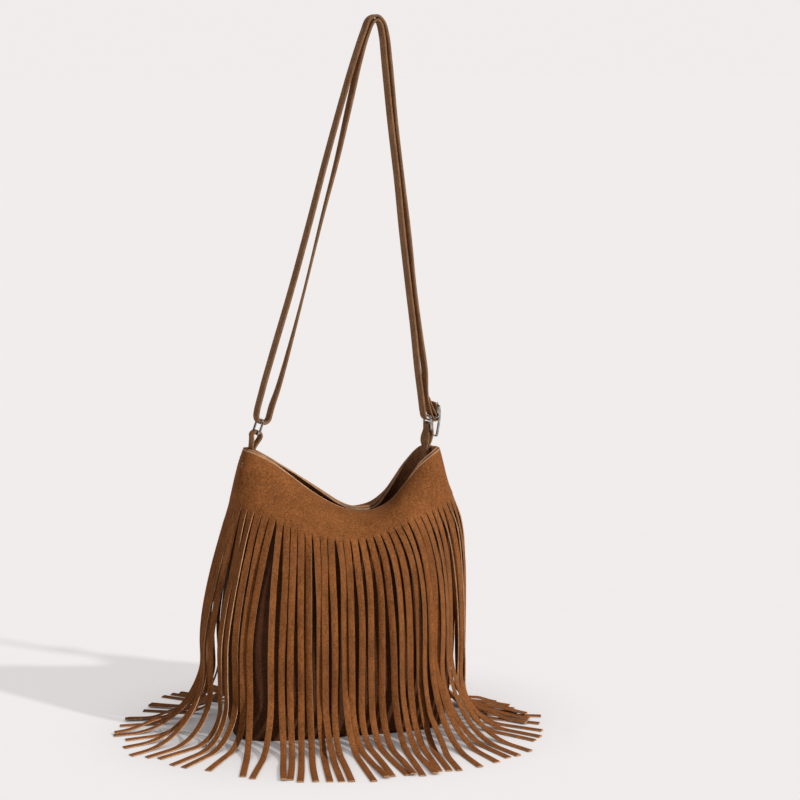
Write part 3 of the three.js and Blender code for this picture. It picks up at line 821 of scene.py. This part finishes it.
def strap_stations():
    """Middle, thickness and turn of the strap from its sewn fold to its tail."""
    stations = []

    def add(x, z, thick=STRAP_THICK, turn=math.degrees(HARDWARE_TURN)):
        side = LEFT if x < 0 else RIGHT
        rise = smoothstep(*STRAP_TURN, z)
        turned = side_to_bag(side, (x - side["bar"][0], 0, z))
        middle = turned * (1 - rise) + np.array([x, 0, z]) * rise
        stations.append((*middle, thick, turn))

    def add_arc(x, z, radius, degrees, thick=STRAP_THICK):
        for d in np.radians(degrees):
            add(x + radius * math.cos(d), z + radius * math.sin(d), thick)

    def add_near(x, z, points):
        for px, pz, thick in points:
            add(x + px, z + pz, thick)

    def add_runs(*runs):
        for run in runs:
            for point in run:
                add(*point[:2], STRAP_THICK, *point[2:])

    bar = (BUCKLE_BAR_X, BUCKLE_BAR_Z)
    fold = BUCKLE_BAR + SEAM_GAP + STRAP_THIN / 2
    add_near(*bar, SEWN_END)
    add_arc(*bar, fold, SEWN_TURN, STRAP_THIN)
    add_near(*bar, SEWN_RISE)
    add_runs(RIGHT_OUTER_RUN, OUTER_CROWN, LEFT_OUTER_RUN)
    top_x, top_z = ring_top(LEFT)
    turn_z = top_z - WIRE - STRAP_PLAY - STRAP_THICK / 2 + TURN_RADIUS
    add_arc(top_x + TURN_OFFSET, turn_z, TURN_RADIUS, LEFT_TURN)
    add_runs(LEFT_INNER_RUN, INNER_CROWN, RIGHT_INNER_RUN)
    add_near(*ring_top(RIGHT), RING_PASS)
    add_arc(*bar, fold + STRAP_THIN + SEAM_GAP, TAIL_TURN, STRAP_THIN)
    under_top = BUCKLE_TOP[0] - BUCKLE_BAR - SEAM_GAP - STRAP_THIN / 2
    end_z = BUCKLE_TOP[1]
    add_near(*bar, [(under_top, end_z, STRAP_THIN), (under_top - 0.6, end_z + 2, STRAP_THIN)])
    return stations


def strap(name):
    track = Track(strap_stations(), spans=12)
    stations = track.at(np.linspace(0, 1, STRAP_STEPS))
    line, thick, turn = stations[:, :3], stations[:, 3], np.radians(stations[:, 4])
    side, face = strip_frames(line, turn)
    sections = [rounded(STRAP_WIDTH, t, steps=2) for t in thick]
    kinds = edge_kinds(rounded(STRAP_WIDTH, STRAP_THICK, steps=2))
    return sweep(name, line, side, face, sections, kinds=kinds)


def buckle_frame(name):
    """One wire loop with bowed sides, and the centre bar across it."""
    half = BUCKLE_WIDTH / 2 - BUCKLE_INSET
    side_track = Track([(x, 0, z) for x, z in BUCKLE_BOW])
    up = side_track.at(np.linspace(0.03, 0.97, 24))
    line = []
    for sign in (1, -1):
        line.extend(up[::sign] + (0, sign * half, 0))
        end = side_track.at(1.0 if sign > 0 else 0.0)
        for share in np.linspace(1, -1, 9):
            line.append(end + (0, sign * share * (half - BUCKLE_CORNER), 0))
    line = np.array(line)
    tangent = unit_rows(np.roll(line, -1, 0) - np.roll(line, 1, 0))
    out = line - BUCKLE_MIDDLE
    out = unit_rows(out - (out * tangent).sum(1, keepdims=True) * tangent)
    face = side_way(RIGHT, np.cross(tangent, out))
    wires = [rounded(*BUCKLE_WIRE)] * len(line)
    line = side_to_bag(RIGHT, line + BUCKLE_CENTRE)
    loop = sweep(name, line, side_way(RIGHT, out), face, wires, closed=True)
    bar_line = np.array([(0, y, 0) for y in np.linspace(-half, half, 9)])
    bar_line[:, 0] += BAR_END_BEND * smoothstep(0.82, 1.0, np.abs(bar_line[:, 1]) / half)
    a, b = (side_way(RIGHT, np.tile(way, (9, 1))) for way in ((1.0, 0, 0), (0, 0, 1.0)))
    bar_line = side_to_bag(RIGHT, bar_line + BUCKLE_CENTRE)
    bar = sweep(name + "_bar", bar_line, a, b, [circle(BUCKLE_BAR)] * 9)
    return [loop, bar]


def tongue(name):
    """The pin: an eye round the centre bar, and a bow through the strap's tail to the frame."""
    eye = BUCKLE_BAR + TONGUE_PLAY + TONGUE_THICK / 2
    over = BUCKLE_TOP[0] + BUCKLE_BAR + TONGUE_PLAY
    points = [(eye * math.cos(t), eye * math.sin(t)) for t in np.radians(np.arange(60, 381, 20))]
    points += TONGUE_BOW
    points += [(over + 0.8, BUCKLE_TOP[1] - 1), (over + 0.6, TONGUE_REACH)]
    track = Track([(x, 0, z) for x, z in points])
    shares = np.linspace(0, 1, 60)
    line = side_to_bag(RIGHT, track.at(shares) + BUCKLE_CENTRE)
    a, b = strip_frames(line, np.full(len(line), HARDWARE_TURN))
    sections = []
    for share in shares:
        tip = 1 - TONGUE_TAPER * smoothstep(0.9, 1.0, share)
        sections.append(rounded(TONGUE_WIDTH * tip, TONGUE_THICK * tip, 0.3))
    return sweep(name, line, a, b, sections)


# Threads. A stitch's form is its share of the length, its height and its width.

STITCH = 2.3
STITCH_PITCH = 3.2
THREAD_RADIUS = 0.34
THREAD_SIDES = 8
STITCH_FORM = (
    (0, -0.4, 0.5), (0.15, 0.05, 0.95), (0.5, 0.12, 1), (0.85, 0.05, 0.95), (1, -0.4, 0.5),
)
FOLD_ROWS = ((13.4, -3.3), (15.6, -4.1))
TACK_COLUMNS = (2, 3, 4, 5)
TACK_ROWS = (4, 7)


def stitch_rows(name, rows):
    """Rows of stitches. Each row has its line on the surface and the way out of it."""
    points, faces = [], []
    for line, outward in rows:
        track = Track(line)
        outward = unit(np.asarray(outward, float))
        count = max(int(track.length / STITCH_PITCH), 1)
        start = (track.length - (count - 1) * STITCH_PITCH - STITCH) / 2
        for k in range(count):
            for n, (share, rise, width) in enumerate(STITCH_FORM):
                place = (start + k * STITCH_PITCH + share * STITCH) / track.length
                middle = track.at(np.clip(place, 0, 1)) + outward * rise
                ahead, behind = (track.at(np.clip(place + d, 0, 1)) for d in (0.02, -0.02))
                side = unit(np.cross(outward, unit(ahead - behind)))
                first = len(points)
                for u, v in circle(THREAD_RADIUS * width, THREAD_SIDES):
                    points.append(middle + side * u + outward * v)
                if n > 0:
                    for c in range(THREAD_SIDES):
                        a, b = first + c, first + (c + 1) % THREAD_SIDES
                        faces.append((a - THREAD_SIDES, b - THREAD_SIDES, b, a))
                if n in (0, len(STITCH_FORM) - 1):
                    faces.append(tuple(range(first, first + THREAD_SIDES)))
    piece = mesh_object(name, points, faces)
    fix_outside(piece)
    return piece


def fold_stitches():
    """Two rows across the strap above the buckle, on the outer face of the sewn fold."""
    rows = []
    for up, x in FOLD_ROWS:
        line = [(BUCKLE_BESIDE + x, y, BUCKLE_BAR_Z + up) for y in (-4, 0, 4)]
        rows.append((side_to_bag(RIGHT, line), side_way(RIGHT, (1, 0, 0.3))))
    return stitch_rows("strap_fold_stitches", rows)


def tab_stitches():
    """A small square of stitches on each side of both seams, which holds the tab's foot."""
    rows = []
    for seam in (0, PER_HALF):
        for way in (1, -1):
            across = [(seam + k * way) % (2 * PER_HALF) for k in TACK_COLUMNS]
            near, far = across[0], across[-1]
            first, last = TACK_ROWS
            for row in TACK_ROWS:
                rows.append((yoke[row, across], yoke_normals[row, near]))
            for column in (near, far):
                rows.append((yoke[first : last + 1, column], yoke_normals[first + 1, column]))
    return stitch_rows("tab_seam_stitches", rows)


# Materials


class Nodes:
    """A short way to write the nodes of a material or of the world."""

    def __init__(self, owner):
        owner.use_nodes = True
        self.owner, self.tree = owner, owner.node_tree
        self.shader = self.tree.nodes.get("Principled BSDF")
        self.places = self.tree.nodes.new("ShaderNodeTexCoord").outputs

    def fill(self, socket, value):
        """Links a socket to another one, or gives it a plain value."""
        if isinstance(value, bpy.types.NodeSocket):
            self.tree.links.new(value, socket)
        else:
            socket.default_value = value

    def put(self, node, **inputs):
        """Fills a node's inputs. Their names are written with _ for a space."""
        for name, value in inputs.items():
            self.fill(node.inputs[name.replace("_", " ")], value)

    def add(self, kind, **inputs):
        node = self.tree.nodes.new("ShaderNode" + kind)
        self.put(node, **inputs)
        return node

    def scaled(self, scale):
        return self.add("Mapping", Scale=scale, Vector=self.places["Object"]).outputs["Vector"]

    def noise(self, scale, detail=3, rough=0.6, vector=None):
        place = vector or self.places["Object"]
        node = self.add("TexNoise", Scale=scale, Detail=detail, Roughness=rough, Vector=place)
        return node.outputs["Fac"]

    def ramp(self, value, stops):
        node = self.add("ValToRGB", Fac=value)
        elements = node.color_ramp.elements
        while len(elements) < len(stops):
            elements.new(0.5)
        for element, (position, colour) in zip(elements, stops):
            element.position = position
            element.color = (*colour, 1)
        return node.outputs["Color"]

    def times(self, a, b):
        """One colour multiplied by another."""
        node = self.add("Mix")
        node.data_type = "RGBA"
        node.blend_type = "MULTIPLY"
        for number, value in ((0, 1.0), (6, a), (7, b)):
            self.fill(node.inputs[number], value)
        return node.outputs[2]

    def maths(self, kind, a, b):
        node = self.add("Math")
        node.operation = kind
        self.fill(node.inputs[0], a)
        self.fill(node.inputs[1], b)
        return node.outputs[0]

    def bump(self, height, strength, distance):
        node = self.add("Bump", Strength=strength, Distance=distance, Height=height)
        return node.outputs["Normal"]

    def pick_by_ray(self, ray, picked, others):
        """One shader for a kind of ray, and another for all others."""
        node = self.add("MixShader")
        self.fill(node.inputs[0], self.add("LightPath").outputs[ray])
        self.fill(node.inputs[1], others.outputs[0])
        self.fill(node.inputs[2], picked.outputs[0])
        return node


def shade(colour, factor):
    return tuple(min(c * factor, 1) for c in colour)


# How fine the patterns are, in waves a metre. A triple is along x, y and z.

CLOUD_SCALE = 38
NAP_SCALE = (420, 420, 60)
GRAIN_SCALE = 600
FIBRE_SCALE = 2200
EDGE_CLOUD_SCALE = 120
HAZE_SCALE = 260
WEAR_SCALE = (900, 120, 900)
YARN_SCALE = 2600


def suede(name, colour, sheen=0.25, nap=1.0, mottle=1.0):
    """Napped suede: cloudy brushed tones, a fine grain and short fibres in the bump."""
    n = Nodes(bpy.data.materials.new(name))
    cloud = n.noise(CLOUD_SCALE, 4, 0.55)
    brushed = n.noise(1, 3, 0.6, n.scaled(NAP_SCALE))
    grain = n.noise(GRAIN_SCALE, 4, 0.75)
    dark, light = shade(colour, 1 - 0.22 * mottle), shade(colour, 1 + 0.2 * mottle)
    base = n.ramp(cloud, [(0.3, dark), (0.52, colour), (0.72, light)])
    streak = n.ramp(brushed, [(0.3, (0.82, 0.8, 0.78)), (0.7, (1.1, 1.1, 1.1))])
    fleck = n.ramp(grain, [(0.36, (0.60, 0.57, 0.54)), (0.64, (1.32, 1.34, 1.36))])
    base = n.times(n.times(base, streak), fleck)
    rough = n.maths("ADD", n.maths("MULTIPLY", grain, 0.15), 0.82)
    height = n.maths("ADD", grain, n.maths("MULTIPLY", brushed, 0.6))
    n.put(
        n.shader, Base_Color=base, Roughness=rough, Normal=n.bump(height, 0.35 * nap, 0.0004),
        Sheen_Weight=sheen, Sheen_Roughness=0.5, Sheen_Tint=(*shade(colour, 2.2), 1),
        Specular_IOR_Level=0.15,
    )
    return n.owner


def raw_edge(name, colour):
    """The cut edge of suede: paler, with fibres across it."""
    n = Nodes(bpy.data.materials.new(name))
    fibres = n.noise(FIBRE_SCALE, 3, 0.7)
    cloud = n.noise(EDGE_CLOUD_SCALE, 3)
    tone = n.ramp(cloud, [(0.35, shade(colour, 0.8)), (0.65, shade(colour, 1.15))])
    streak = n.ramp(fibres, [(0.3, (0.7, 0.68, 0.66)), (0.7, (1.15, 1.15, 1.15))])
    n.put(
        n.shader, Base_Color=n.times(tone, streak), Roughness=0.95,
        Normal=n.bump(fibres, 0.6, 0.0003), Specular_IOR_Level=0.1,
    )
    return n.owner


def polished(name, colour):
    """Bright plated metal with a light haze and rubbed wear."""
    n = Nodes(bpy.data.materials.new(name))
    haze = n.noise(HAZE_SCALE, 4, 0.6)
    wear = n.noise(1, 3, 0.6, n.scaled(WEAR_SCALE))
    rough = n.maths("ADD", n.maths("MULTIPLY", haze, 0.14), n.maths("MULTIPLY", wear, 0.08))
    base = n.ramp(haze, [(0.4, shade(colour, 0.68)), (0.6, shade(colour, 1.2))])
    normal = n.bump(wear, 0.06, 0.0001)
    n.put(n.shader, Base_Color=base, Metallic=1.0, Roughness=rough, Normal=normal)
    return n.owner


def thread(name, colour):
    n = Nodes(bpy.data.materials.new(name))
    yarn = n.noise(YARN_SCALE, 2)
    tone = n.ramp(yarn, [(0.35, shade(colour, 0.7)), (0.65, shade(colour, 1.2))])
    n.put(n.shader, Base_Color=tone, Roughness=0.8, Normal=n.bump(yarn, 0.5, 0.0002))
    return n.owner


TAN = (0.270, 0.096, 0.027)
# Walls and base: the tan suede darkened as painted shade, for where they sit in shadow behind the
# strands and under the bag
PAINTED_SHADE_BROWN = (0.105, 0.040, 0.017)
STRAP_BROWN = (0.315, 0.165, 0.083)
# Cut edges: paler raw suede, brightened further as a painted highlight along the strands' edges
EDGE_WITH_PAINTED_HIGHLIGHT = (0.60, 0.335, 0.175)
RIM_TONE = (0.53, 0.30, 0.165)
# Inner face of the walls: tan suede painted much lighter, as painted light standing in for light
# that reaches into the mouth
PAINTED_LIGHT_INSIDE = (0.47, 0.23, 0.11)
STEEL = (0.52, 0.51, 0.50)
YARN = (0.40, 0.24, 0.13)

finish = {
    "suede": suede("tan_suede", TAN),
    "flesh": suede("inner_face_suede", shade(TAN, 0.9), nap=1.4),
    # Partly the paler cut edge, partly a painted highlight
    "edge": raw_edge("cut_edge_painted_highlight", EDGE_WITH_PAINTED_HIGHLIGHT),
    "rim": raw_edge("rim_edge", RIM_TONE),
    # Painted shade: the walls' outer face is a darkened copy of the tan suede
    "body": suede("body_suede_painted_shade", PAINTED_SHADE_BROWN, mottle=0.7),
    # Painted light: the inner face is brighter than the tan suede it is made of
    "painted_light_lining": suede("inside_suede_painted_light", PAINTED_LIGHT_INSIDE, nap=1.5),
    "strap": suede("strap_suede", STRAP_BROWN, sheen=0.15, nap=0.7),
    "strap_edge": raw_edge("strap_edge", shade(STRAP_BROWN, 0.95)),
    # Painted shade: the base is darker still, as it sits under the bag
    "base": suede("base_suede_painted_shade", shade(PAINTED_SHADE_BROWN, 0.8)),
    "steel": polished("polished_steel", STEEL),
    "thread": thread("tan_thread", YARN),
}


def dress(piece, *names):
    """Gives a piece its materials in the order of its faces' numbers."""
    materials = piece.data.materials
    for number, name in enumerate(names):
        if number < len(materials):
            materials[number] = finish[name]
        else:
            materials.append(finish[name])


# Pieces


def place(piece, body, slot, names, node=None):
    """Dresses a piece and says its body and the solid that it stands for. Its slot is not used."""
    dress(piece, *names)
    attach(piece, body)
    if node:
        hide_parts(node)


def add_fringes():
    names = ("suede", "edge", "flesh", "rim")
    for half, side in enumerate(("front", "back")):
        piece = fringe(half, f"fringe_{side}_suede")
        place(piece, "bag", "fringe_suede", names, f"fringe_{side}")


def add_body():
    names = ("body", "edge", "painted_light_lining", "rim")
    for half, side in enumerate(("front", "back")):
        piece = body_panel(half, f"body_{side}_wall")
        place(piece, "bag", "inner_suede", names, f"body_{side}")
    dress(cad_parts["base_panel"], "base")


def add_fittings():
    strip, steel = ("strap", "strap_edge"), ("steel",)
    for side, name in ((LEFT, "left"), (RIGHT, "right")):
        piece = wire_ring(side, f"ring_{name}_wire")
        place(piece, f"{name}_ring", "ring_steel", steel, f"ring_{name}")
        place(tab(side, f"tab_{name}_strip"), "bag", "strap_suede", strip, f"tab_{name}")
    place(strap("strap_strip"), "bag", "strap_suede", strip, "strap")
    for piece in (fold_stitches(), tab_stitches()):
        place(piece, "bag", "strap_suede", ("thread",))
    for piece in buckle_frame("buckle_loop"):
        place(piece, "bag", "buckle_steel", steel, "buckle_frame")
    place(tongue("buckle_pin"), "tongue", "buckle_steel", steel, "buckle_tongue")


# Floor, light and camera

PAPER = (0.871, 0.839, 0.831)
FLOOR_SHARE = 0.43
FLOOR_GLOW = 0.70
FILL_STRENGTH = 0.27
FILL_COLOUR = (1.0, 0.985, 0.97)
CONTACT_SHADE = 0.14
FLOOR_SIZE = 30.0
# What metal mirrors of the room: the ramp's places from the camera's side to the back, and greys
MIRRORED = ((0.38, 0.03), (0.56, 0.95))
KEY_TOWARDS = (0.616, -0.555, 0.559)
KEY_STRENGTH = 2.55
KEY_SPREAD = math.radians(2.5)


def floor_material():
    """Pale paper. What the camera sees of it is part glow, so that shadows on it stay light. Near
    the bag the glow is dimmed by ambient occlusion, as painted contact shade.
    """
    n = Nodes(bpy.data.materials.new("pale_floor"))
    n.put(n.shader, Base_Color=(*PAPER, 1), Roughness=0.9, Specular_IOR_Level=0.1)
    tone = n.ramp(n.noise(40, 3), [(0.3, shade(PAPER, 0.985)), (0.7, PAPER)])
    share = (FLOOR_SHARE, FLOOR_SHARE, FLOOR_SHARE, 1)
    seen = n.add("BsdfDiffuse", Color=n.times(tone, share))
    # Painted contact shade: the glow dims where ambient occlusion finds the bag close by
    near = n.add("AmbientOcclusion", Distance=CONTACT_SHADE)
    near.samples = 8
    strength = n.maths("MULTIPLY", near.outputs["AO"], FLOOR_GLOW)
    glow = n.add("Emission", Color=(*PAPER, 1), Strength=strength)
    both = n.add("AddShader")
    n.fill(both.inputs[0], seen.outputs[0])
    n.fill(both.inputs[1], glow.outputs[0])
    floor = n.pick_by_ray("Is Camera Ray", both, n.shader)
    n.fill(n.tree.nodes["Material Output"].inputs["Surface"], floor.outputs[0])
    return n.owner


def add_floor():
    size = FLOOR_SIZE
    corners = [(-size, -size, 0), (size, -size, 0), (size, size, 0), (-size, size, 0)]
    mesh = bpy.data.meshes.new("floor")
    mesh.from_pydata(corners, [], [(0, 1, 2, 3)])
    mesh.materials.append(floor_material())
    in_scene("floor", mesh)


def add_world():
    """Even fill light. The camera sees pale paper, and metal also mirrors the dark of the room."""
    world = bpy.data.worlds.new("studio")
    bpy.context.scene.world = world
    n = Nodes(world)
    light = n.tree.nodes["Background"]
    n.put(light, Color=(*FILL_COLOUR, 1), Strength=FILL_STRENGTH)
    seen = n.add("Background", Color=(*PAPER, 1))
    away = n.add("SeparateXYZ", Vector=n.places["Generated"]).outputs["Y"]
    share = n.maths("ADD", n.maths("MULTIPLY", away, 0.5), 0.5)
    stops = [(position, (grey, grey, grey)) for position, grey in MIRRORED]
    room = n.add("Background", Color=n.ramp(share, stops))
    lit = n.pick_by_ray("Is Glossy Ray", room, light)
    whole = n.pick_by_ray("Is Camera Ray", seen, lit)
    n.fill(n.tree.nodes["World Output"].inputs["Surface"], whole.outputs[0])


def add_lights():
    key = bpy.data.lights.new("key", "SUN")
    key.energy = KEY_STRENGTH
    key.angle = KEY_SPREAD
    lamp = in_scene("key", key)
    lamp.rotation_euler = Vector(KEY_TOWARDS).to_track_quat("Z", "Y").to_euler()


def add_camera():
    data = bpy.data.cameras.new("camera")
    data.sensor_width = SENSOR_MM
    data.lens = SENSOR_MM * FOCAL_PIXELS / PICTURE_PIXELS
    data.clip_end = 100
    camera = in_scene("camera", data)
    camera.location = EYE
    camera.rotation_euler = Vector(FORWARD).to_track_quat("-Z", "Y").to_euler()
    bpy.context.scene.camera = camera


add_camera()
add_fringes()
add_body()
add_fittings()
add_floor()
add_world()
add_lights()
bpy.context.scene.view_settings.view_transform = "Standard"
